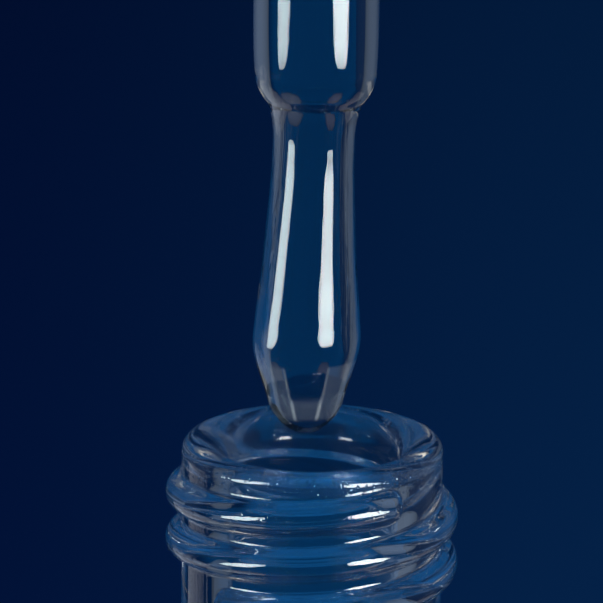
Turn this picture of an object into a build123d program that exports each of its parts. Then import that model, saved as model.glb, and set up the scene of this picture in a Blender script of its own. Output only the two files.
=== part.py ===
# Nail polish bottle with its screw cap and applicator brush, opened: the cap has been unscrewed
# and lifted on the bottle's axis until the loaded brush hangs just above the mouth.
# Millimetres, +Z up, origin at the centre of the base. The front of the bottle faces -Y.
from build123d import *
import math
import os

os.makedirs("parts", exist_ok=True)

# ---- driving dimensions --------------------------------------------------------------------
# glass bottle, 15 ml, with a 13 mm screw finish
body_radius = 15.0
cavity_radius = 12.2
floor_thickness = 5.0
punt_depth = 0.8                 # hollow under the base, so that it stands on a ring
foot_inner_radius = 11.2
foot_outer_radius = 13.6
shoulder_bottom = 40.5
shoulder_top = 47.8
rim_height = 58.0
neck_radius = 5.7
bore_radius = 3.65
liquid_level = 38.8
liquid_gap = 0.03                # keeps the liquid's surface off the glass's own

# screw thread, 12 turns to the inch, right handed
pitch = 25.4 / 12
bead_radius = 0.75               # the glass thread is a round bead sunk in the neck
bead_centre_radius = 5.65
bead_top_below_rim = 1.65
bead_turns = 2.2
bead_top_azimuth = -56.0         # where the bead starts, 34 degrees right of the front
ridge_radius = 0.40              # the cap's thread is a thinner round ridge
ridge_centre_radius = 6.35
ridge_first_turn = 0.2           # the part of the glass groove that the closed cap's ridge fills
ridge_last_turn = 1.5
open_turns = 1.75                # turns from tight to free
thread_rise = open_turns * pitch

# where the lifted brush hangs
tip_gap = 0.3                    # from the rim's plane to the tip of the hanging bead of gel
tip = rim_height + tip_gap
brush_reach = 51.0               # from the tip to the underside of the stem's flange
flange_bottom = tip + brush_reach

# seal ring
ring_thickness = 0.8
ring_gap = 0.05                  # above and below the ring when the cap is tight
ring_radius = 5.5
ring_bore_radius = 2.85
closed_flange_bottom = rim_height + ring_thickness + 2 * ring_gap
travel = flange_bottom - closed_flange_bottom    # whole way from closed to where it hangs
lift = travel - thread_rise
ring_bottom = rim_height + ring_gap + lift

# brush stem
stem_radius = 2.6
stem_end = tip + 15.4
stem_end_radius = 2.1
stem_taper = 1.6
socket_radius = 1.5
socket_depth = 3.0
stop_radius = 3.15               # bead on the stem that keeps the seal ring from dropping off
flange_radius = 5.2
flange_thickness = 1.2
hub_radius = 2.2
hub_length = 4.0
snap_radius = 2.6
snap_length = 1.1

# bristles and the gel on them
tuft_end = tip + 2.9
tuft_top = stem_end + socket_depth - 0.05
coat_radius = 2.69               # of the film on the stem
coat_bottom = tip + 17.0         # where the film on the stem passes into the swelling
coat_top = tip + 25.0
coat_fade = 1.5                  # height over which the film thins out to nothing
coat_outline = [(0, 0), (1.18, 0.60), (1.53, 1.14), (1.95, 2.55), (2.31, 3.9), (2.06, 7.5),
                (1.86, 10.8), (1.80, 13.4), (2.38, 15.4),
                (coat_radius, coat_bottom - tip)]        # radius, height over the tip

# cap
skirt_bottom = 48.8 + travel
skirt_bore_radius = 6.6
skirt_radius = 7.5
cap_gap = 0.05                   # running gap around the stem's flange and hub
panel_thickness = 1.2
boss_radius = 4.2
rib_count = 6
rib_thickness = 0.8
flute_count = 36
flute_radius = 0.22
overcap_height = 34.0
overcap_wall = 0.9
overcap_foot_radius = 8.6
overcap_top_radius = 7.9
disc_radius = 5.6
disc_thickness = 0.5


def save(node, label):
    """Labels a finished piece and writes it to its own file."""
    node.part.label = label
    export_step(node.part, f"parts/{label}.step")
    print(label, [round(v, 3) for v in node.part.bounding_box().min],
          [round(v, 3) for v in node.part.bounding_box().max], round(node.part.volume, 2))


def round_thread(rod_radius, centre_radius, bottom, turns):
    """A round bar wound as a right-handed helix from the +X side, with a ball at each end."""
    with BuildPart(mode=Mode.PRIVATE) as bar:
        with BuildLine() as winding:
            Helix(pitch=pitch, height=turns * pitch, radius=centre_radius, center=(0, 0, bottom))
        start = winding.line @ 0
        finish = winding.line @ 1
        with BuildSketch(Plane(origin=start, z_dir=winding.line % 0)):
            Circle(rod_radius)
        sweep(path=winding.line, is_frenet=True)
        with Locations(start, finish):
            Sphere(rod_radius)
    return bar.part


# ---- glass bottle --------------------------------------------------------------------------
# Blown and pressed clear glass: thick floor with a hollow punt, straight wall, round shoulder,
# cylindrical neck with a rounded rim and an outside thread.
bead_bottom = rim_height - bead_top_below_rim - bead_turns * pitch
bead_bottom_azimuth = bead_top_azimuth - 360 * bead_turns
with BuildPart() as glass_bottle:
    with BuildSketch(Plane.XZ) as outer_profile:
        with BuildLine():
            ThreePointArc((0, punt_depth), (foot_inner_radius / 2, punt_depth * 0.75),
                          (foot_inner_radius, 0))
            Polyline((foot_inner_radius, 0), (foot_outer_radius, 0), (body_radius, 1.4),
                     (body_radius, shoulder_bottom), (neck_radius + 4.6, shoulder_top),
                     (neck_radius, shoulder_top), (neck_radius, rim_height), (0, rim_height),
                     (0, punt_depth))
        make_face()
        fillet(outer_profile.vertices().filter_by_position(Axis.X, body_radius - 0.01, body_radius + 0.01)
               .sort_by(Axis.Y)[-1:], 5.0)
        fillet(outer_profile.vertices().filter_by_position(Axis.X, neck_radius + 4, neck_radius + 5), 3.0)
        fillet(outer_profile.vertices().filter_by_position(Axis.X, neck_radius - 0.01, neck_radius + 0.01)
               .sort_by(Axis.Y)[:1], 1.2)
        fillet(outer_profile.vertices().filter_by_position(Axis.X, neck_radius - 0.01, neck_radius + 0.01)
               .sort_by(Axis.Y)[-1:], 0.55)
    revolve(axis=Axis.Z)
    add(round_thread(bead_radius, bead_centre_radius, bead_bottom, bead_turns),
        rotation=(0, 0, bead_bottom_azimuth))
    with BuildSketch(Plane.XZ) as cavity_profile:
        with BuildLine():
            Polyline((0, floor_thickness), (cavity_radius, floor_thickness),
                     (cavity_radius, shoulder_bottom), (bore_radius + 3.6, shoulder_top - 1.5),
                     (bore_radius, shoulder_top - 0.4), (bore_radius, rim_height + 1),
                     (0, rim_height + 1), (0, floor_thickness))
        make_face()
        side = cavity_profile.vertices().filter_by_position(
            Axis.X, cavity_radius - 0.01, cavity_radius + 0.01).sort_by(Axis.Y)
        fillet(side[:1], 2.5)
        side = cavity_profile.vertices().filter_by_position(
            Axis.X, cavity_radius - 0.01, cavity_radius + 0.01).sort_by(Axis.Y)
        fillet(side[-1:], 4.0)
        fillet(cavity_profile.vertices().filter_by_position(Axis.X, bore_radius + 3.5, bore_radius + 3.7),
               2.0)
    revolve(axis=Axis.Z, mode=Mode.SUBTRACT)
    mouth = glass_bottle.edges().filter_by(GeomType.CIRCLE).filter_by_position(
        Axis.Z, rim_height - 0.01, rim_height + 0.01).sort_by(SortBy.RADIUS)[0]
    fillet(mouth, 0.7)
save(glass_bottle, "glass_bottle")

# ---- nail polish ---------------------------------------------------------------------------
# Clear gel polish in the bottle, filled to just under the shoulder.
with BuildPart() as nail_polish:
    with BuildSketch(Plane.XZ) as liquid_profile:
        with BuildLine():
            Polyline((0, floor_thickness + liquid_gap), (cavity_radius - liquid_gap, floor_thickness
                     + liquid_gap), (cavity_radius - liquid_gap, liquid_level),
                     (0, liquid_level), (0, floor_thickness + liquid_gap))
        make_face()
        fillet(liquid_profile.vertices().filter_by_position(Axis.X, cavity_radius - 0.1, cavity_radius)
               .sort_by(Axis.Y)[:1], 2.5)
    revolve(axis=Axis.Z)
save(nail_polish, "nail_polish")

# ---- seal ring -----------------------------------------------------------------------------
# Soft plastic washer that lies on the glass rim. It is loose on the stem, above a stop bead.
with BuildPart() as seal_ring:
    with BuildSketch(Plane.XY.offset(ring_bottom)):
        Circle(ring_radius)
        Circle(ring_bore_radius, mode=Mode.SUBTRACT)
    extrude(amount=ring_thickness)
    fillet(seal_ring.edges().filter_by(GeomType.CIRCLE), 0.15)
save(seal_ring, "seal_ring")

# ---- brush stem ----------------------------------------------------------------------------
# Clear moulded rod. A flange closes the mouth, a snap head above it turns in the cap, and the
# bristles are fused into a socket in its tapered lower end.
flange_top = flange_bottom + flange_thickness
hub_top = flange_top + hub_length
with BuildPart() as brush_stem:
    with BuildSketch(Plane.XZ) as stem_profile:
        with BuildLine():
            Polyline((0, stem_end), (stem_end_radius, stem_end), (stem_radius, stem_end + stem_taper),
                     (stem_radius, flange_bottom), (flange_radius, flange_bottom),
                     (flange_radius, flange_top), (hub_radius, flange_top), (hub_radius, hub_top),
                     (snap_radius, hub_top + 0.3), (snap_radius, hub_top + 0.5),
                     (hub_radius - 0.3, hub_top + snap_length), (0, hub_top + snap_length),
                     (0, stem_end))
        make_face()
        fillet(stem_profile.vertices().filter_by_position(Axis.Y, stem_end - 0.01, stem_end + 0.01)
               .sort_by(Axis.X)[-1:], 0.35)
        fillet(stem_profile.vertices().filter_by_position(Axis.X, flange_radius - 0.01,
                                                          flange_radius + 0.01), 0.25)
    revolve(axis=Axis.Z)
    stop_height = ring_bottom - ring_gap - 0.35
    with BuildSketch(Plane.XZ):
        with Locations((stem_radius + 0.05, stop_height)):
            Ellipse(stop_radius - stem_radius - 0.05, 0.35)
    revolve(axis=Axis.Z)
    with BuildSketch(Plane.XY.offset(stem_end)):
        Circle(socket_radius)
    extrude(amount=socket_depth, mode=Mode.SUBTRACT)
save(brush_stem, "brush_stem")

# ---- bristle tuft --------------------------------------------------------------------------
# Clear nylon filaments: fused together in the socket, gathered below it and fanned towards the end.
with BuildPart() as bristle_tuft:
    with BuildSketch(Plane.XZ):
        with BuildLine():
            Spline((socket_radius - 0.05, stem_end), (1.5, tip + 13.2), (1.64, tip + 10.0),
                   (1.92, tip + 5.6), (1.97, tip + 4.2), tangents=((0, -1), (0, -1)))
            Spline((1.97, tip + 4.2), (1.3, tip + 3.15), (0, tuft_end), tangents=((0, -1), (-1, 0)))
            Polyline((0, tuft_end), (0, tuft_top), (socket_radius - 0.05, tuft_top),
                     (socket_radius - 0.05, stem_end))
        make_face()
    revolve(axis=Axis.Z)
save(bristle_tuft, "bristle_tuft")

# ---- gel on the brush ----------------------------------------------------------------------
# Thick clear gel that wets the stem's end, swells over the bristles and hangs in a blunt bead.
with BuildPart() as gel_coat:
    with BuildSketch(Plane.XZ):
        with BuildLine():
            Spline(*[(radius, tip + height) for radius, height in coat_outline],
                   tangents=((1, 0), (0, 1)), tangent_scalars=(1, 1))
            Polyline((coat_radius, coat_bottom), (coat_radius, coat_top - coat_fade),
                     (stem_radius + 0.01, coat_top), (0, coat_top), (0, tip))
        make_face()
    revolve(axis=Axis.Z)
    with BuildSketch(Plane.XZ):
        with BuildLine():
            Polyline((0, stem_end + 0.2), (stem_end_radius - 0.35, stem_end),
                     (stem_radius, stem_end + stem_taper), (stem_radius, coat_top + 1),
                     (0, coat_top + 1), (0, stem_end + 0.2))
        make_face()
    revolve(axis=Axis.Z, mode=Mode.SUBTRACT)
    add(brush_stem.part, mode=Mode.SUBTRACT)
    add(bristle_tuft.part, mode=Mode.SUBTRACT)
save(gel_coat, "gel_coat")

# ---- inner cap -----------------------------------------------------------------------------
# Moulded closure: threaded skirt, panel over the flange, a boss with the socket for the snap
# head, ribs that centre the overcap, and fine flutes that grip it.
panel_bottom = flange_top + cap_gap
panel_top = panel_bottom + panel_thickness
boss_top = hub_top + snap_length + 0.9
ridge_top_closed = rim_height - bead_top_below_rim - pitch / 2 - ridge_first_turn * pitch
ridge_turns = ridge_last_turn - ridge_first_turn
ridge_bottom = ridge_top_closed - ridge_turns * pitch + travel
ridge_bottom_azimuth = bead_top_azimuth - 360 * ridge_last_turn + 360 * open_turns
with BuildPart() as inner_cap:
    with BuildSketch(Plane.XZ):
        with BuildLine():
            Polyline((skirt_bore_radius, skirt_bottom), (skirt_radius, skirt_bottom),
                     (skirt_radius, panel_top), (boss_radius, panel_top), (boss_radius, boss_top),
                     (0, boss_top), (0, boss_top - 0.6), (snap_radius + 0.1, boss_top - 0.6),
                     (snap_radius + 0.1, hub_top - 0.1), (hub_radius + cap_gap, hub_top - 0.1),
                     (hub_radius + cap_gap, panel_bottom), (skirt_bore_radius, panel_bottom),
                     (skirt_bore_radius, skirt_bottom))
        make_face()
    revolve(axis=Axis.Z)
    add(round_thread(ridge_radius, ridge_centre_radius, ridge_bottom, ridge_turns),
        rotation=(0, 0, ridge_bottom_azimuth))
    rib_length = skirt_radius - boss_radius + 0.3
    with PolarLocations(boss_radius + rib_length / 2 - 0.3, rib_count):
        with Locations((0, 0, (panel_top + boss_top - 0.8) / 2)):
            Box(rib_length, rib_thickness, boss_top - 0.8 - panel_top)
    with BuildSketch(Plane.XY.offset(skirt_bottom + 1.2)):
        with PolarLocations(skirt_radius + 0.06, flute_count):
            Circle(flute_radius)
    extrude(amount=panel_top - skirt_bottom - 1.6, mode=Mode.SUBTRACT)
save(inner_cap, "inner_cap")

# ---- overcap -------------------------------------------------------------------------------
# Glossy outer shell pushed over the inner cap, drawn in slightly towards a rounded top.
overcap_top = skirt_bottom + overcap_height
with BuildPart() as overcap:
    with BuildSketch(Plane.XZ) as shell_profile:
        with BuildLine():
            Polyline((skirt_radius + 0.03, skirt_bottom - 0.2), (overcap_foot_radius,
                     skirt_bottom - 0.2), (overcap_top_radius, overcap_top),
                     (disc_radius + 0.05, overcap_top), (disc_radius + 0.05, overcap_top - 0.4),
                     (0, overcap_top - 0.4), (0, overcap_top - 1.8),
                     (overcap_top_radius - overcap_wall, overcap_top - 1.8),
                     (skirt_radius + 0.03, boss_top + 6), (skirt_radius + 0.03, skirt_bottom - 0.2))
        make_face()
        fillet(shell_profile.vertices().filter_by_position(Axis.X, overcap_top_radius - 0.01,
               overcap_top_radius + 0.01), 1.4)
        fillet(shell_profile.vertices().filter_by_position(Axis.X, overcap_foot_radius - 0.01,
               overcap_foot_radius + 0.01), 0.3)
    revolve(axis=Axis.Z)
save(overcap, "overcap")

# ---- cap top disc --------------------------------------------------------------------------
# Thin metal disc glued into a recess in the overcap's top.
with BuildPart() as top_disc:
    with BuildSketch(Plane.XY.offset(overcap_top - 0.4)):
        Circle(disc_radius)
    extrude(amount=disc_thickness)
    fillet(top_disc.edges().group_by(Axis.Z)[-1], 0.12)
save(top_disc, "top_disc")

print("lift", round(lift, 4), "rise", round(thread_rise, 4), "ratio m/rad",
      round(pitch / (2 * math.pi) / 1000, 9), "tip", tip, "travel", round(travel, 4))
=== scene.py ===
import math

import bpy
import numpy as np
from mathutils import Matrix, Vector


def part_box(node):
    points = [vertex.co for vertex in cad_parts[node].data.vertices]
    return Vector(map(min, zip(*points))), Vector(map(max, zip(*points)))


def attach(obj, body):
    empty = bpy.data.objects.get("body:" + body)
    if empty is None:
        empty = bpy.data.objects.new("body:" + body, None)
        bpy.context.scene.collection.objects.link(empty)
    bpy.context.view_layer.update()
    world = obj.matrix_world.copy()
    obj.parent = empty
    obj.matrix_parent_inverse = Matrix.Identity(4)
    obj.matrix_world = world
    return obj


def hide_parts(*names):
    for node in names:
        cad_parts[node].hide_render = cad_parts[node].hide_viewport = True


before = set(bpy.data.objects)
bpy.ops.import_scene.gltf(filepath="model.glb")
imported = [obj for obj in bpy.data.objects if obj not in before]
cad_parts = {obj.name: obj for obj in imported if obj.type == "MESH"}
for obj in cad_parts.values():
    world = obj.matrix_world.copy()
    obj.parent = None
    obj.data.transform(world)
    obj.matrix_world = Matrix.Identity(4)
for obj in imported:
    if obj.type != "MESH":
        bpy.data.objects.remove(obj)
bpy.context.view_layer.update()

MM = 0.001

# ---- Table top -----------------------------------------------------------------------------
# A round, pale, matt board that the bottle stands on.
# It is part of the studio and not of the bottle, and is left out of mirror reflections and of
# what shows through clear pieces.
FLOOR_RADIUS = 0.132
FLOOR_THICKNESS = 0.006
FLOOR_EDGE = 0.002


def mesh_object(name, points, faces, smooth=True):
    """A new object from points in metres and faces, with smooth normals."""
    mesh = bpy.data.meshes.new(name)
    mesh.from_pydata([tuple(p) for p in points], [], faces)
    mesh.validate()
    if smooth:
        mesh.polygons.foreach_set("use_smooth", [True] * len(mesh.polygons))
    made = bpy.data.objects.new(name, mesh)
    bpy.context.scene.collection.objects.link(made)
    return made


def lathe(name, outline, around=128):
    """A closed solid of revolution about Z from an outline of (radius, height), in metres.
    Points on the axis become single vertices."""
    points, rings = [], []
    angles = np.linspace(0, 2 * math.pi, around, endpoint=False)
    for r, z in outline:
        if r < 1e-9:
            rings.append([len(points)])
            points.append((0, 0, z))
        else:
            rings.append(list(range(len(points), len(points) + around)))
            points += [(r * math.cos(a), r * math.sin(a), z) for a in angles]
    faces = []
    for low, high in zip(rings, rings[1:]):
        faces += band(low, high, around)
    return mesh_object(name, points, faces)


def band(low, high, around):
    """The faces between two rings, either of which may be one point on the axis."""
    made = []
    for i in range(around):
        j = (i + 1) % around
        if len(low) == 1 and len(high) > 1:
            made.append((low[0], high[j], high[i]))
        elif len(high) == 1 and len(low) > 1:
            made.append((low[i], low[j], high[0]))
        elif len(low) > 1:
            made.append((low[i], low[j], high[j], high[i]))
    return made


def rounded(corners, step=6.0):
    """An outline from corners of (radius, height, fillet), each an arc with a point every step degrees."""
    made = []
    for i, (x, y, fillet) in enumerate(corners):
        here = Vector((x, y))
        if fillet <= 0 or i in (0, len(corners) - 1):
            made.append((x, y))
            continue
        back = (Vector(corners[i - 1][:2]) - here).normalized()
        on = (Vector(corners[i + 1][:2]) - here).normalized()
        half = back.angle(on) / 2
        centre = here + (back + on).normalized() * (fillet / math.sin(half))
        first = here + back * (fillet / math.tan(half)) - centre
        last = here + on * (fillet / math.tan(half)) - centre
        turn = first.angle_signed(last)
        steps = max(2, int(abs(math.degrees(turn)) / step))
        for k in range(steps + 1):
            arm = first.copy()
            arm.rotate(Matrix.Rotation(-turn * k / steps, 2))
            made.append(tuple(centre + arm))
    return made


def new_material(name):
    """A material with a node tree, its tree and its Principled shader."""
    made = bpy.data.materials.new(name)
    made.use_nodes = True
    tree = made.node_tree
    return made, tree, tree.nodes["Principled BSDF"]


def set_inputs(node, **values):
    """Sets a node's inputs by name, an underscore for each space: From_Min=0.2 sets "From Min"."""
    for name, value in values.items():
        node.inputs[name.replace("_", " ")].default_value = value


def map_range(tree, value, smooth=False, **values):
    """The output of a Map Range node that takes a value and has the given inputs."""
    made = tree.nodes.new("ShaderNodeMapRange")
    if smooth:
        made.interpolation_type = "SMOOTHSTEP"
    set_inputs(made, **values)
    tree.links.new(value, made.inputs["Value"])
    return made.outputs[0]


floor = lathe("table_top", rounded([
    (0, -FLOOR_THICKNESS, 0),
    (FLOOR_RADIUS, -FLOOR_THICKNESS, FLOOR_EDGE),
    (FLOOR_RADIUS, 0, FLOOR_EDGE),
    (0, 0, 0)]), 180)
floor_paint, tree, shader = new_material("pale_board")
set_inputs(shader, Base_Color=(0.54, 0.55, 0.57, 1), Roughness=0.65)
floor.data.materials.append(floor_paint)
floor.visible_transmission = False
floor.visible_glossy = False

# ---- Studio --------------------------------------------------------------------------------
# A dark blue room, lighter in front than behind, with a tall soft box in front on each side.
# Dim cards behind, beside and below draw the edges of clear pieces, and warm ones overhead the
# thread. Seen straight, mirrored and through clear material, the room has a tone of its own.
bpy.context.scene.view_settings.view_transform = "Standard"
world = bpy.data.worlds.new("blue_room")
bpy.context.scene.world = world
world.use_nodes = True
tree = world.node_tree
tree.nodes.clear()
direction = tree.nodes.new("ShaderNodeTexCoord")
split = tree.nodes.new("ShaderNodeSeparateXYZ")
tree.links.new(direction.outputs["Generated"], split.inputs[0])


def room_tones(axis, low, high, low_colour, high_colour):
    """A background that passes smoothly from one colour to another along an axis of the direction."""
    ramp = tree.nodes.new("ShaderNodeValToRGB")
    ramp.color_ramp.elements[0].color = (*low_colour, 1)
    ramp.color_ramp.elements[1].color = (*high_colour, 1)
    made = tree.nodes.new("ShaderNodeBackground")
    share = map_range(tree, split.outputs[axis], smooth=True, From_Min=low, From_Max=high)
    tree.links.new(share, ramp.inputs[0])
    tree.links.new(ramp.outputs[0], made.inputs["Color"])
    return made


def chosen(ray_kind, otherwise, then):
    """A mix that gives one shader for one kind of light ray, and another otherwise."""
    made = tree.nodes.new("ShaderNodeMixShader")
    tree.links.new(path.outputs[ray_kind], made.inputs[0])
    tree.links.new(otherwise.outputs[0], made.inputs[1])
    tree.links.new(then.outputs[0], made.inputs[2])
    return made


path = tree.nodes.new("ShaderNodeLightPath")
backdrop = room_tones("X", -0.06, 0.06, (0.0005, 0.0048, 0.0305), (0.0012, 0.0132, 0.0530))
downwards = map_range(tree, split.outputs["Z"], From_Min=-0.32, From_Max=-0.23, To_Min=1.2, To_Max=0.85)
tree.links.new(downwards, backdrop.inputs["Strength"])
reflected = room_tones("Y", -0.15, 0.15, (0.0080, 0.2900, 0.8600), (0.0008, 0.0090, 0.0400))
refracted = room_tones("Y", -0.30, 0.10, (0.0040, 0.0480, 0.1500), (0.0006, 0.0100, 0.0420))
steep = room_tones("Z", -0.80, -0.60, (0.002, 0.026, 0.078), (0, 0, 0))
through = tree.nodes.new("ShaderNodeAddShader")
tree.links.new(refracted.outputs[0], through.inputs[0])
tree.links.new(steep.outputs[0], through.inputs[1])
dim = tree.nodes.new("ShaderNodeBackground")
dim.inputs["Color"].default_value = (0.05, 0.055, 0.065, 1)
seen = chosen("Is Transmission Ray", backdrop, through)
room = chosen("Is Diffuse Ray", chosen("Is Reflection Ray", seen, reflected), dim)
output = tree.nodes.new("ShaderNodeOutputWorld")
tree.links.new(room.outputs[0], output.inputs[0])

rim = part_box("glass_bottle")[1].z
CARD_DISTANCE = 0.30
CARD_STEPS = 24
CORNER = 0.6
BORDER_FALL = 0.55


def card(name, azimuths, spreads, heights, radiance, colour, hidden_from):
    """A glowing sheet with rounded corners, bent round the bottle's axis, dimmer towards its border.
    Its azimuth, in degrees from the front to the right, and half its width are given low and high."""
    low, high = heights
    points, faces, glows = [], [], []
    for i in range(CARD_STEPS + 1):
        up_share = 2 * i / CARD_STEPS - 1
        for k in range(CARD_STEPS + 1):
            side_share = 2 * k / CARD_STEPS - 1
            reach_side = side_share * math.sqrt(1 - CORNER * up_share ** 6)
            reach_up = up_share * math.sqrt(1 - CORNER * side_share ** 6)
            middle = np.interp(reach_up, (-1, 1), azimuths)
            a = math.radians(middle + np.interp(reach_up, (-1, 1), spreads) * reach_side)
            z = (low + high) / 2 + (high - low) / 2 * reach_up
            points.append((CARD_DISTANCE * math.sin(a), -CARD_DISTANCE * math.cos(a), z))
            glows.append(1 - BORDER_FALL * max(abs(side_share), abs(up_share)) ** 4)
    for i in range(CARD_STEPS):
        for k in range(CARD_STEPS):
            low_corner = i * (CARD_STEPS + 1) + k
            high_corner = low_corner + CARD_STEPS + 1
            faces.append((low_corner, low_corner + 1, high_corner + 1, high_corner))
    made = mesh_object(name, points, faces)
    glow = made.data.attributes.new("glow", "FLOAT", "POINT")
    glow.data.foreach_set("value", glows)
    paint = bpy.data.materials.new(name)
    paint.use_nodes = True
    nodes, link = paint.node_tree.nodes, paint.node_tree.links.new
    nodes.clear()
    share = nodes.new("ShaderNodeAttribute")
    share.attribute_name = "glow"
    strength = nodes.new("ShaderNodeMath")
    strength.operation = "MULTIPLY"
    strength.inputs[1].default_value = radiance
    light = nodes.new("ShaderNodeEmission")
    light.inputs["Color"].default_value = (*colour, 1)
    end = nodes.new("ShaderNodeOutputMaterial")
    link(share.outputs["Fac"], strength.inputs[0])
    link(strength.outputs[0], light.inputs["Strength"])
    link(light.outputs[0], end.inputs["Surface"])
    made.data.materials.append(paint)
    made.visible_camera = False
    for kind in hidden_from:
        setattr(made, "visible_" + kind, False)


BOX = (rim - 0.085, rim + 0.080)
TALL = (rim - 0.18, rim + 0.28)
OVERHEAD = (rim + 0.10, rim + 0.30)
LOW = (rim - 0.60, rim - 0.20)
UNDER = (rim - 0.60, rim - 0.074)
COOL = (0.48, 0.66, 1.0)
WARM = (1.0, 0.93, 0.82)
ONLY_THROUGH = ["glossy", "diffuse"]
ONLY_MIRRORED = ["transmission", "diffuse"]
card("left_soft_box", (-67, -42), (16, 11), BOX, 15.5, (0.83, 1.02, 1.06), ["transmission"])
card("right_soft_box", (48, 36), (20, 11), BOX, 23, (0.90, 1.03, 1.06), ["transmission"])
card("left_rear_card", (-122, -122), (20, 20), TALL, 0.13, COOL, ["diffuse"])
card("right_rear_card", (110, 110), (34, 34), TALL, 0.19, COOL, ["diffuse"])
card("left_warm_card", (-95, -95), (30, 30), OVERHEAD, 1.0, WARM, ONLY_THROUGH)
card("right_warm_card", (95, 95), (30, 30), OVERHEAD, 1.0, WARM, ONLY_THROUGH)
card("left_low_card", (-66, -66), (26, 26), LOW, 1.0, (0.72, 0.84, 1.0), ONLY_MIRRORED)
card("right_low_card", (50, 50), (16, 16), LOW, 0.9, (0.80, 0.82, 1.0), ONLY_MIRRORED)
card("left_side_card", (-122, -122), (32, 32), UNDER, 0.80, (0.90, 0.93, 1.0), ONLY_MIRRORED)
card("right_side_card", (114, 114), (16, 16), UNDER, 0.50, (0.95, 0.93, 1.0), ONLY_MIRRORED)

# ---- Camera --------------------------------------------------------------------------------
# A long macro lens 16 degrees over the rim. It leans a little, so that the brush stands
# slightly off the upright.
CAMERA_ELEVATION = math.radians(16.0)
CAMERA_LEAN = math.radians(0.5)
CAMERA_DISTANCE = 0.300
FRAME_WIDTH = 26.28 * MM
SENSOR_WIDTH = 36
RIM_RIGHT_OF_CENTRE = 0.48 * MM
RIM_BELOW_CENTRE = 5.95 * MM
towards = Vector((0, -math.cos(CAMERA_ELEVATION), math.sin(CAMERA_ELEVATION)))
level = Vector((1, 0, 0))
upright = towards.cross(level)
right = level * math.cos(CAMERA_LEAN) + upright * math.sin(CAMERA_LEAN)
up = towards.cross(right)
target = Vector((0, 0, rim)) - right * RIM_RIGHT_OF_CENTRE + up * RIM_BELOW_CENTRE
lens = bpy.data.cameras.new("camera")
lens.sensor_width = SENSOR_WIDTH
lens.lens = SENSOR_WIDTH * CAMERA_DISTANCE / FRAME_WIDTH
lens.clip_start, lens.clip_end = 0.01, 10
camera = bpy.data.objects.new("camera", lens)
camera.matrix_world = Matrix.Translation(target + towards * CAMERA_DISTANCE) @ Matrix(
    (right, up, towards)).transposed().to_4x4()
bpy.context.scene.collection.objects.link(camera)
bpy.context.scene.camera = camera
cycles = bpy.context.scene.cycles
cycles.max_bounces = 32
cycles.transmission_bounces = 32
cycles.glossy_bounces = 12

# ---- Glass bottle --------------------------------------------------------------------------
# Pressed and blown clear glass with a thick floor, a hollow punt and a rounded rim. Its thread is
# a round right-handed bead that starts right of the front. A thin uneven film of gel dulls the
# inside of the mouth, and fine pits speckle the glass at the rim.
NECK = 5.7 * MM
BORE = 3.65 * MM
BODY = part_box("glass_bottle")[1].x
CAVITY = 12.2 * MM
SHOULDER = 40.5 * MM
NECK_FOOT = 47.8 * MM
THREAD_FOOT = 49 * MM
WALL_STEP = 0.07 * MM
BOTTLE_SIDES = 300
PITCH = 25.4 / 12 * MM
BEAD = 0.75 * MM
BEAD_CENTRE = 5.65 * MM
BEAD_TOP = rim - 1.65 * MM
BEAD_TURNS = 2.2
BEAD_START = -56.0
ROOT_BLEND = 0.28 * MM
FILM_ROUGHNESS = 0.12


def bead_radius(angle, z):
    """The radius of the round bead's surface at an azimuth and a height.
    Away from the bead it falls off, so that it can be blended with the plain wall."""
    turns_down = ((BEAD_START - math.degrees(angle)) / 360) % 1.0
    best = -1.0
    for k in range(-1, int(BEAD_TURNS) + 2):
        turn = turns_down + k
        on = min(max(turn, 0.0), BEAD_TURNS)
        along = (turn - on) * 2 * math.pi * BEAD_CENTRE
        away = math.hypot(z - (BEAD_TOP - on * PITCH), along)
        if away < BEAD:
            best = max(best, BEAD_CENTRE + math.sqrt(BEAD ** 2 - away ** 2))
        else:
            best = max(best, BEAD_CENTRE - 1.5 * (away - BEAD))
    return best


def blended(a, b, width):
    """The larger of two radii, with a fillet about as wide as width where they are equal."""
    h = max(width - abs(a - b), 0.0) / width
    return max(a, b) + h * h * width / 4


wall = rounded([
    (0, 0.8 * MM, 0), (5.6 * MM, 0.62 * MM, 30 * MM), (11.2 * MM, 0, 0.5 * MM),
    (13.6 * MM, 0, 0.8 * MM), (BODY, 1.4 * MM, 1.0 * MM), (BODY, SHOULDER, 5.0 * MM),
    (NECK + 4.6 * MM, NECK_FOOT, 3.0 * MM), (NECK, NECK_FOOT, 1.2 * MM),
    (NECK, rim, 0.55 * MM), (BORE, rim, 1.45 * MM), (BORE, 47.4 * MM, 0.5 * MM),
    (BORE + 3.6 * MM, 46.3 * MM, 2.0 * MM), (CAVITY, SHOULDER, 4.0 * MM),
    (CAVITY, 5.0 * MM, 2.5 * MM), (0, 5.0 * MM, 0)])


def divided(outline):
    """The outline with extra points on its upright runs on the neck, where the thread is."""
    made = [outline[0]]
    for a, b in zip(outline, outline[1:]):
        if abs(a[0] - NECK) < 1e-6 and abs(b[0] - NECK) < 1e-6:
            count = int(abs(b[1] - a[1]) / WALL_STEP)
            made += [(a[0], a[1] + (b[1] - a[1]) * k / count) for k in range(1, count)]
        made.append(b)
    return made


bottle = lathe("bottle_glass", divided(wall), BOTTLE_SIDES)
for vertex in bottle.data.vertices:
    x, y, z = vertex.co
    r = math.hypot(x, y)
    if NECK * 0.9 < r < NECK * 1.2 and THREAD_FOOT < z < rim:
        wide = blended(r, bead_radius(math.atan2(y, x), z), ROOT_BLEND)
        vertex.co.xy = (x * wide / r, y * wide / r)
bottle.data.update()

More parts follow.
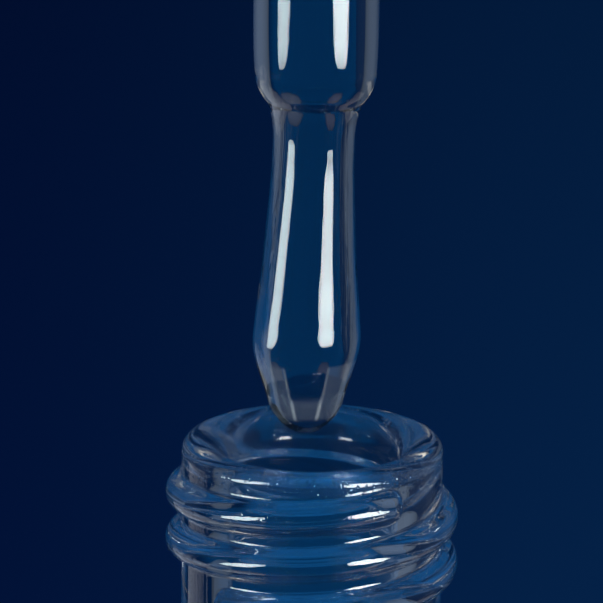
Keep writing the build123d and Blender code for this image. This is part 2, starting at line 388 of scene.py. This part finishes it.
glass, tree, shader = new_material("clear_flint_glass")
set_inputs(shader, Base_Color=(0.97, 0.985, 0.985, 1), IOR=1.52, Transmission_Weight=1.0)
link = tree.links.new
place = tree.nodes.new("ShaderNodeNewGeometry").outputs["Position"]
apart = tree.nodes.new("ShaderNodeSeparateXYZ")
link(place, apart.inputs[0])
height = apart.outputs["Z"]


def texture(kind, scale):
    """A noise or cell texture at a scale, in the glass's own place."""
    made = tree.nodes.new("ShaderNodeTex" + kind)
    made.inputs["Scale"].default_value = scale
    link(place, made.inputs["Vector"])
    return made


def number(operation, first, second=0.0, third=0.0):
    """The output of a math node whose inputs are numbers or other outputs."""
    made = tree.nodes.new("ShaderNodeMath")
    made.operation = operation
    for slot, given in zip(made.inputs, (first, second, third)):
        if isinstance(given, bpy.types.NodeSocket):
            tree.links.new(given, slot)
        else:
            slot.default_value = given
    return made.outputs[0]


flat = tree.nodes.new("ShaderNodeVectorMath")
flat.operation = "MULTIPLY"
flat.inputs[1].default_value = (1, 1, 0)
radius = tree.nodes.new("ShaderNodeVectorMath")
radius.operation = "LENGTH"
link(place, flat.inputs[0])
link(flat.outputs[0], radius.inputs[0])
inside = map_range(tree, radius.outputs["Value"], From_Min=NECK - 0.35 * MM, From_Max=NECK - 0.75 * MM)
mouth = map_range(tree, height, From_Min=rim - 2.0 * MM, From_Max=rim - 1.2 * MM)
film = number("MULTIPLY", inside, mouth)
link(number("MULTIPLY", film, FILM_ROUGHNESS), shader.inputs["Roughness"])
ripple = texture("Noise", 420)
ripple_bump = tree.nodes.new("ShaderNodeBump")
set_inputs(ripple_bump, Strength=0.25, Distance=0.05 * MM)
link(ripple.outputs["Fac"], ripple_bump.inputs["Height"])
pits = texture("Voronoi", 4200)
patch = texture("Noise", 700)
patches = map_range(tree, patch.outputs["Fac"], From_Min=0.42, From_Max=0.58)
near_rim = map_range(tree, height, From_Min=rim - 2.2 * MM, From_Max=rim - 0.9 * MM)
pit_bump = tree.nodes.new("ShaderNodeBump")
set_inputs(pit_bump, Distance=0.03 * MM)
link(number("MULTIPLY", patches, near_rim), pit_bump.inputs["Strength"])
link(map_range(tree, pits.outputs["Distance"], From_Max=0.35), pit_bump.inputs["Height"])
link(ripple_bump.outputs["Normal"], pit_bump.inputs["Normal"])
link(pit_bump.outputs["Normal"], shader.inputs["Normal"])
bottle.data.materials.append(glass)
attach(bottle, "bottle")
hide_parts("glass_bottle")

# ---- Polish in the bottle ------------------------------------------------------------------
# Clear gel polish that wets the glass all round and creeps a little up the wall.
# It lies loose in the cavity, which it fills to just under the shoulder.
FILL = CAVITY + 0.04 * MM
FILL_FLOOR = 4.95 * MM
WALL_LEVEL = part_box("nail_polish")[1].z
LEVEL = WALL_LEVEL - 0.5 * MM
GEL_TINT = (0.985, 0.99, 0.995)
GEL_IOR = 1.48
polish = lathe("bottle_polish", rounded([
    (0, FILL_FLOOR, 0), (FILL, FILL_FLOOR, 2.5 * MM), (FILL, WALL_LEVEL, 0.1 * MM),
    (CAVITY - 1.2 * MM, LEVEL, 1.0 * MM), (0, LEVEL, 0)]), 160)


def clear_material(name, tint, ior, roughness=0.0):
    """A plain clear material. Inside gel, an index set close to 1 lets wetted plastic nearly vanish."""
    made, tree, shader = new_material(name)
    set_inputs(shader, Base_Color=(*tint, 1), Roughness=roughness, IOR=ior, Transmission_Weight=1.0)
    return made


polish.data.materials.append(clear_material("clear_gel", GEL_TINT, GEL_IOR))
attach(polish, "bottle")
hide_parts("nail_polish")

# ---- Brush stem ----------------------------------------------------------------------------
# Clear moulded rod with a flange, a snap head that clips into the cap, a stop bead for the
# seal ring, and a tapered end that the bristles are fused into. Its lower end is in the gel.
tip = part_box("gel_coat")[0].z
coat_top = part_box("gel_coat")[1].z
stem_low, stem_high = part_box("brush_stem")
STEM = 2.6 * MM
STEM_END = stem_low.z
FLANGE = stem_high.x
FLANGE_BOTTOM = tip + 51.0 * MM
FLANGE_TOP = FLANGE_BOTTOM + 1.2 * MM
HUB_TOP = FLANGE_BOTTOM + 5.2 * MM
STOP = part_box("seal_ring")[0].z - 0.4 * MM
HEAD_NECK = 2.2 * MM
HEAD_TOP = HUB_TOP + 1.1 * MM
stem = lathe("clear_stem", rounded([
    (0, STEM_END, 0), (2.1 * MM, STEM_END, 0.35 * MM), (STEM, STEM_END + 1.6 * MM, 1.5 * MM),
    (STEM, coat_top, 0), (STEM, STOP - 0.5 * MM, 0.1 * MM), (3.15 * MM, STOP, 0.25 * MM),
    (STEM, STOP + 0.5 * MM, 0.1 * MM), (STEM, FLANGE_BOTTOM, 0.1 * MM),
    (FLANGE, FLANGE_BOTTOM, 0.25 * MM), (FLANGE, FLANGE_TOP, 0.25 * MM),
    (HEAD_NECK, FLANGE_TOP, 0.1 * MM), (HEAD_NECK, HUB_TOP, 0.05 * MM),
    (2.6 * MM, HUB_TOP + 0.4 * MM, 0.1 * MM), (1.9 * MM, HEAD_TOP, 0.1 * MM),
    (0, HEAD_TOP, 0)]), 128)
stem.data.materials.append(clear_material("clear_plastic", (0.97, 0.98, 0.985), 1.50, 0.02))
stem.data.materials.append(clear_material("clear_plastic_in_gel", (0.99, 0.995, 0.995), 1.002))
for face in stem.data.polygons:
    if face.center.z < coat_top - 0.3 * MM:
        face.material_index = 1
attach(stem, "brush")
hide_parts("brush_stem")

# ---- Bristles ------------------------------------------------------------------------------
# Clear nylon filaments, fused to the stem's end, gathered below it and fanned out in the gel.
# Each is a thin tapered tube of its own.
FILAMENTS = 190
FILAMENT = 0.055 * MM
FILAMENT_SIDES = 6
FILAMENT_STEPS = 22
GOLDEN_ANGLE = math.pi * (3 - math.sqrt(5))
OVAL_TURN = math.radians(18)
OVAL = (Matrix.Rotation(OVAL_TURN, 2) @ Matrix.Diagonal((1.03, 0.82)) @ Matrix.Rotation(-OVAL_TURN, 2))
OVAL_TOP = tip + 16 * MM
OVAL_BOTTOM = tip + 3 * MM
SIDE_SWAY = 0.3 * MM
SWAY_BULGE = 1.7
TUFT_RADIUS = 1.42 * MM
TUFT_BOTTOM = tip + 2.95 * MM
TUFT_TOP = STEM_END + 0.05 * MM
FAN_HEIGHTS = (0.0, 0.30, 0.55, 0.80, 1.0)
FAN_WIDTHS = (1.27, 1.24, 1.06, 0.96, 0.93)


def clamped(share):
    """A share kept between 0 and 1."""
    return min(max(share, 0.0), 1.0)


def made_oval(piece):
    """Presses the loaded tuft to an oval below the stem, and lets it hang a little to the left."""
    for vertex in piece.data.vertices:
        share = clamped((OVAL_TOP - vertex.co.z) / (OVAL_TOP - OVAL_BOTTOM))
        share = share * share * (3 - 2 * share)
        around = Vector(vertex.co.xy).lerp(OVAL @ Vector(vertex.co.xy), share)
        lean = max(STEM_END - vertex.co.z, 0.0) / (STEM_END - tip)
        lean += SWAY_BULGE * lean ** 2 * (1 - lean)
        vertex.co.xy = around - Vector((SIDE_SWAY * lean, 0))


rng = np.random.default_rng(7)
points, faces = [], []
for n in range(FILAMENTS):
    out = math.sqrt((n + 0.5) / FILAMENTS)
    bearing = n * GOLDEN_ANGLE + rng.uniform(-0.12, 0.12)
    bottom = TUFT_BOTTOM + 0.75 * MM * out ** 2 + rng.uniform(0, 0.45) * MM
    sway = rng.uniform(-0.05, 0.05)
    first = len(points)
    for k in range(FILAMENT_STEPS + 1):
        share = 1 - k / FILAMENT_STEPS
        z = bottom + (TUFT_TOP - bottom) * share
        r = out * TUFT_RADIUS * np.interp(clamped((z - TUFT_BOTTOM) / (STEM_END - TUFT_BOTTOM)),
                                          FAN_HEIGHTS, FAN_WIDTHS)
        a = bearing + sway * (1 - share) ** 2 * 4
        left_over = FILAMENT_STEPS - k
        thick = FILAMENT * (1.0 if left_over > 3 else 0.55 + 0.15 * left_over)
        for s in range(FILAMENT_SIDES):
            b = 2 * math.pi * s / FILAMENT_SIDES
            points.append((r * math.cos(a) + thick * math.cos(b),
                           r * math.sin(a) + thick * math.sin(b), z))
    for k in range(FILAMENT_STEPS):
        low = first + k * FILAMENT_SIDES
        high = low + FILAMENT_SIDES
        for s in range(FILAMENT_SIDES):
            t = (s + 1) % FILAMENT_SIDES
            faces.append((high + s, high + t, low + t, low + s))
    last = first + FILAMENT_STEPS * FILAMENT_SIDES
    faces.append(tuple(first + s for s in range(FILAMENT_SIDES)))
    faces.append(tuple(last + s for s in reversed(range(FILAMENT_SIDES))))
bristles = mesh_object("bristles", points, faces)
made_oval(bristles)
bristles.data.materials.append(clear_material("nylon_in_gel", (0.995, 0.995, 0.995), 1.008))
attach(bristles, "brush")
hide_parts("bristle_tuft")

# ---- Gel on the brush ----------------------------------------------------------------------
# Thick clear gel: a thin film on the stem, a waist where the stem ends, a swelling over the
# bristles and a blunt hanging bead below them. The real gel is clear: a faint whitish painted
# reflection, laid by place on the bead's sides and foot, stands in for the grey that reflections
# give them, with a brighter painted highlight streak along the inner edge of each side.
COAT = 2.71 * MM


def smooth_curve(points, per_span=10):
    """Points along a smooth curve through the given ones, which is centripetal Catmull-Rom."""
    knots = [Vector(p) for p in points]
    knots = [knots[0] * 2 - knots[1]] + knots + [knots[-1] * 2 - knots[-2]]
    made = []
    for i in range(1, len(knots) - 2):
        p0, p1, p2, p3 = knots[i - 1:i + 3]
        t1 = (p1 - p0).length ** 0.5
        t2 = t1 + (p2 - p1).length ** 0.5
        t3 = t2 + (p3 - p2).length ** 0.5
        for k in range(per_span):
            t = t1 + (t2 - t1) * k / per_span
            a1 = p0 * ((t1 - t) / t1) + p1 * (t / t1)
            a2 = p1 * ((t2 - t) / (t2 - t1)) + p2 * ((t - t1) / (t2 - t1))
            a3 = p2 * ((t3 - t) / (t3 - t2)) + p3 * ((t - t2) / (t3 - t2))
            b1 = a1 * ((t2 - t) / t2) + a2 * (t / t2)
            b2 = a2 * ((t3 - t) / (t3 - t1)) + a3 * ((t - t1) / (t3 - t1))
            made.append(tuple(b1 * ((t2 - t) / (t2 - t1)) + b2 * ((t - t1) / (t2 - t1))))
    made.append(tuple(points[-1]))
    return made


bead = [(0, 0), (0.61, 0.11), (1.18, 0.60), (1.53, 1.14), (1.76, 1.93), (2.04, 2.80)]
swell = [(2.31, 3.95), (2.26, 5.2), (2.06, 7.5), (1.86, 10.6), (1.78, 12.6), (1.82, 13.9)]
stem_end = [(2.08, 14.8), (2.40, 15.3), (2.585, 15.8), (2.645, 16.4), (2.68, 17.0), (2.70, 17.7)]
stem_film = [(2.71, 18.7)]
coat_outline = smooth_curve([(r * MM, tip + z * MM) for r, z in bead + swell + stem_end + stem_film])
coat_outline += [(COAT, coat_top - 1.5 * MM), (STEM + 0.02 * MM, coat_top - 0.15 * MM),
                 (STEM - 0.05 * MM, coat_top - 0.1 * MM), (0, coat_top - 0.1 * MM)]
coat = lathe("brush_gel", coat_outline, 192)
made_oval(coat)
# Painted reflection and painted highlight: transmission is turned down by place, so that the bead's sides
# and foot show a faint whitish haze, brightest in a streak along the inner edge of the sides.
PAINTED_REFLECTION_STRENGTH = 0.020
PAINTED_HIGHLIGHT_GAIN = 6.0
PAINTED_HIGHLIGHT_WIDTH = 0.12 * MM
wet, tree, shader = new_material("brush_gel_with_painted_reflection")
set_inputs(shader, Base_Color=(*GEL_TINT, 1), Roughness=0.0, IOR=GEL_IOR)
place = tree.nodes.new("ShaderNodeTexCoord")
apart = tree.nodes.new("ShaderNodeSeparateXYZ")
tree.links.new(place.outputs["Object"], apart.inputs[0])


def rising(value, low, high):
    """How far a value has gone from low to high, from 0 to 1, smoothly."""
    return map_range(tree, value, smooth=True, From_Min=low, From_Max=high)


height = number("SUBTRACT", apart.outputs["Z"], tip)
sideways = number("ABSOLUTE", number("ADD", apart.outputs["X"], SIDE_SWAY))
flank_edge = number("MULTIPLY_ADD", height, 0.19, 0.30 * MM)
beyond = number("SUBTRACT", sideways, flank_edge)
flank = rising(beyond, -0.05 * MM, 0.12 * MM)
foot = rising(height, 2.0 * MM, 1.6 * MM)
below_line = rising(height, 3.45 * MM, 3.25 * MM)
above_tip = rising(height, 0.70 * MM, 1.0 * MM)
# Painted highlight: a brighter line along the inner edge of the painted grey sides.
off_edge = number("DIVIDE", number("ABSOLUTE", beyond), PAINTED_HIGHLIGHT_WIDTH)
painted_highlight = number("MAXIMUM", number("SUBTRACT", 1.0, off_edge), 0.0)
painted_reflection = number("MULTIPLY", number("MAXIMUM", flank, foot), number("MULTIPLY", below_line, above_tip))
painted_reflection = number("MULTIPLY", painted_reflection, number("MULTIPLY_ADD", painted_highlight, PAINTED_HIGHLIGHT_GAIN, 1.0))
clear_share = number("SUBTRACT", 1.0, number("MULTIPLY", painted_reflection, PAINTED_REFLECTION_STRENGTH))
tree.links.new(clear_share, shader.inputs["Transmission Weight"])
coat.data.materials.append(wet)
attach(coat, "brush")
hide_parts("gel_coat")

# ---- Seal ring -----------------------------------------------------------------------------
# A soft washer that lies on the glass rim while the bottle is shut.
# It is loose on the stem, and the stop bead carries it when the brush is drawn out.
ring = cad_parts["seal_ring"]
soft, tree, shader = new_material("soft_white_plastic")
set_inputs(shader, Base_Color=(0.82, 0.83, 0.84, 1), Subsurface_Weight=0.2, Subsurface_Scale=0.5 * MM)
cloud = tree.nodes.new("ShaderNodeTexNoise")
cloud.inputs["Scale"].default_value = 900
tree.links.new(map_range(tree, cloud.outputs["Fac"], To_Min=0.42, To_Max=0.6), shader.inputs["Roughness"])
ring.data.materials.clear()
ring.data.materials.append(soft)

# ---- Inner cap -----------------------------------------------------------------------------
# White moulded closure: threaded skirt, panel, socket and ribs, with flutes that the overcap grips.
# Its mould left the plastic faintly grained.
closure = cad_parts["inner_cap"]
white, tree, shader = new_material("moulded_white_plastic")
set_inputs(shader, Base_Color=(0.8, 0.8, 0.79, 1), Roughness=0.42)
grain = tree.nodes.new("ShaderNodeTexNoise")
grain.inputs["Scale"].default_value = 6000
grain_bump = tree.nodes.new("ShaderNodeBump")
set_inputs(grain_bump, Strength=0.2, Distance=0.02 * MM)
tree.links.new(grain.outputs["Fac"], grain_bump.inputs["Height"])
tree.links.new(grain_bump.outputs["Normal"], shader.inputs["Normal"])
closure.data.materials.clear()
closure.data.materials.append(white)

# ---- Overcap -------------------------------------------------------------------------------
# Glossy black plastic shell, moulded with a slight draft and a rounded top.
# It is pushed over the inner cap, and the flutes there grip its bore.
SHELL_BORE = 7.53 * MM
RECESS = 5.65 * MM
CAP_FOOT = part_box("overcap")[0].z
CAP_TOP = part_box("overcap")[1].z
RECESS_FLOOR = CAP_TOP - 0.4 * MM
SHELL_CEILING = CAP_TOP - 1.8 * MM
overcap = lathe("overcap_shell", rounded([
    (SHELL_BORE, CAP_FOOT, 0.1 * MM), (8.6 * MM, CAP_FOOT, 0.3 * MM), (7.9 * MM, CAP_TOP, 1.4 * MM),
    (RECESS, CAP_TOP, 0.12 * MM), (RECESS, RECESS_FLOOR, 0.05 * MM), (0, RECESS_FLOOR, 0),
    (0, SHELL_CEILING, 0), (7.0 * MM, SHELL_CEILING, 0.3 * MM),
    (SHELL_BORE, CAP_TOP - 10.7 * MM, 0), (SHELL_BORE, CAP_FOOT, 0)]), 192)
black, tree, shader = new_material("gloss_black_plastic")
set_inputs(shader, Base_Color=(0.012, 0.0125, 0.014, 1), Coat_Weight=0.4, Coat_Roughness=0.04)
smear = tree.nodes.new("ShaderNodeTexNoise")
smear.inputs["Scale"].default_value = 160
tree.links.new(map_range(tree, smear.outputs["Fac"], To_Min=0.12, To_Max=0.26), shader.inputs["Roughness"])
overcap.data.materials.append(black)
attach(overcap, "cap")
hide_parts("overcap")

# ---- Top disc ------------------------------------------------------------------------------
# A thin disc of bright metal, brushed in circles.
# It is glued into the round recess in the overcap's top.
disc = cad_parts["top_disc"]
brushed, tree, shader = new_material("brushed_disc")
set_inputs(shader, Base_Color=(0.72, 0.73, 0.75, 1), Metallic=1.0)
place = tree.nodes.new("ShaderNodeNewGeometry")
rings = tree.nodes.new("ShaderNodeTexWave")
rings.wave_type = "RINGS"
rings.rings_direction = "Z"
set_inputs(rings, Scale=1500, Distortion=1.5)
tree.links.new(place.outputs["Position"], rings.inputs["Vector"])
tree.links.new(map_range(tree, rings.outputs["Fac"], To_Min=0.22, To_Max=0.42), shader.inputs["Roughness"])
disc.data.materials.clear()
disc.data.materials.append(brushed)
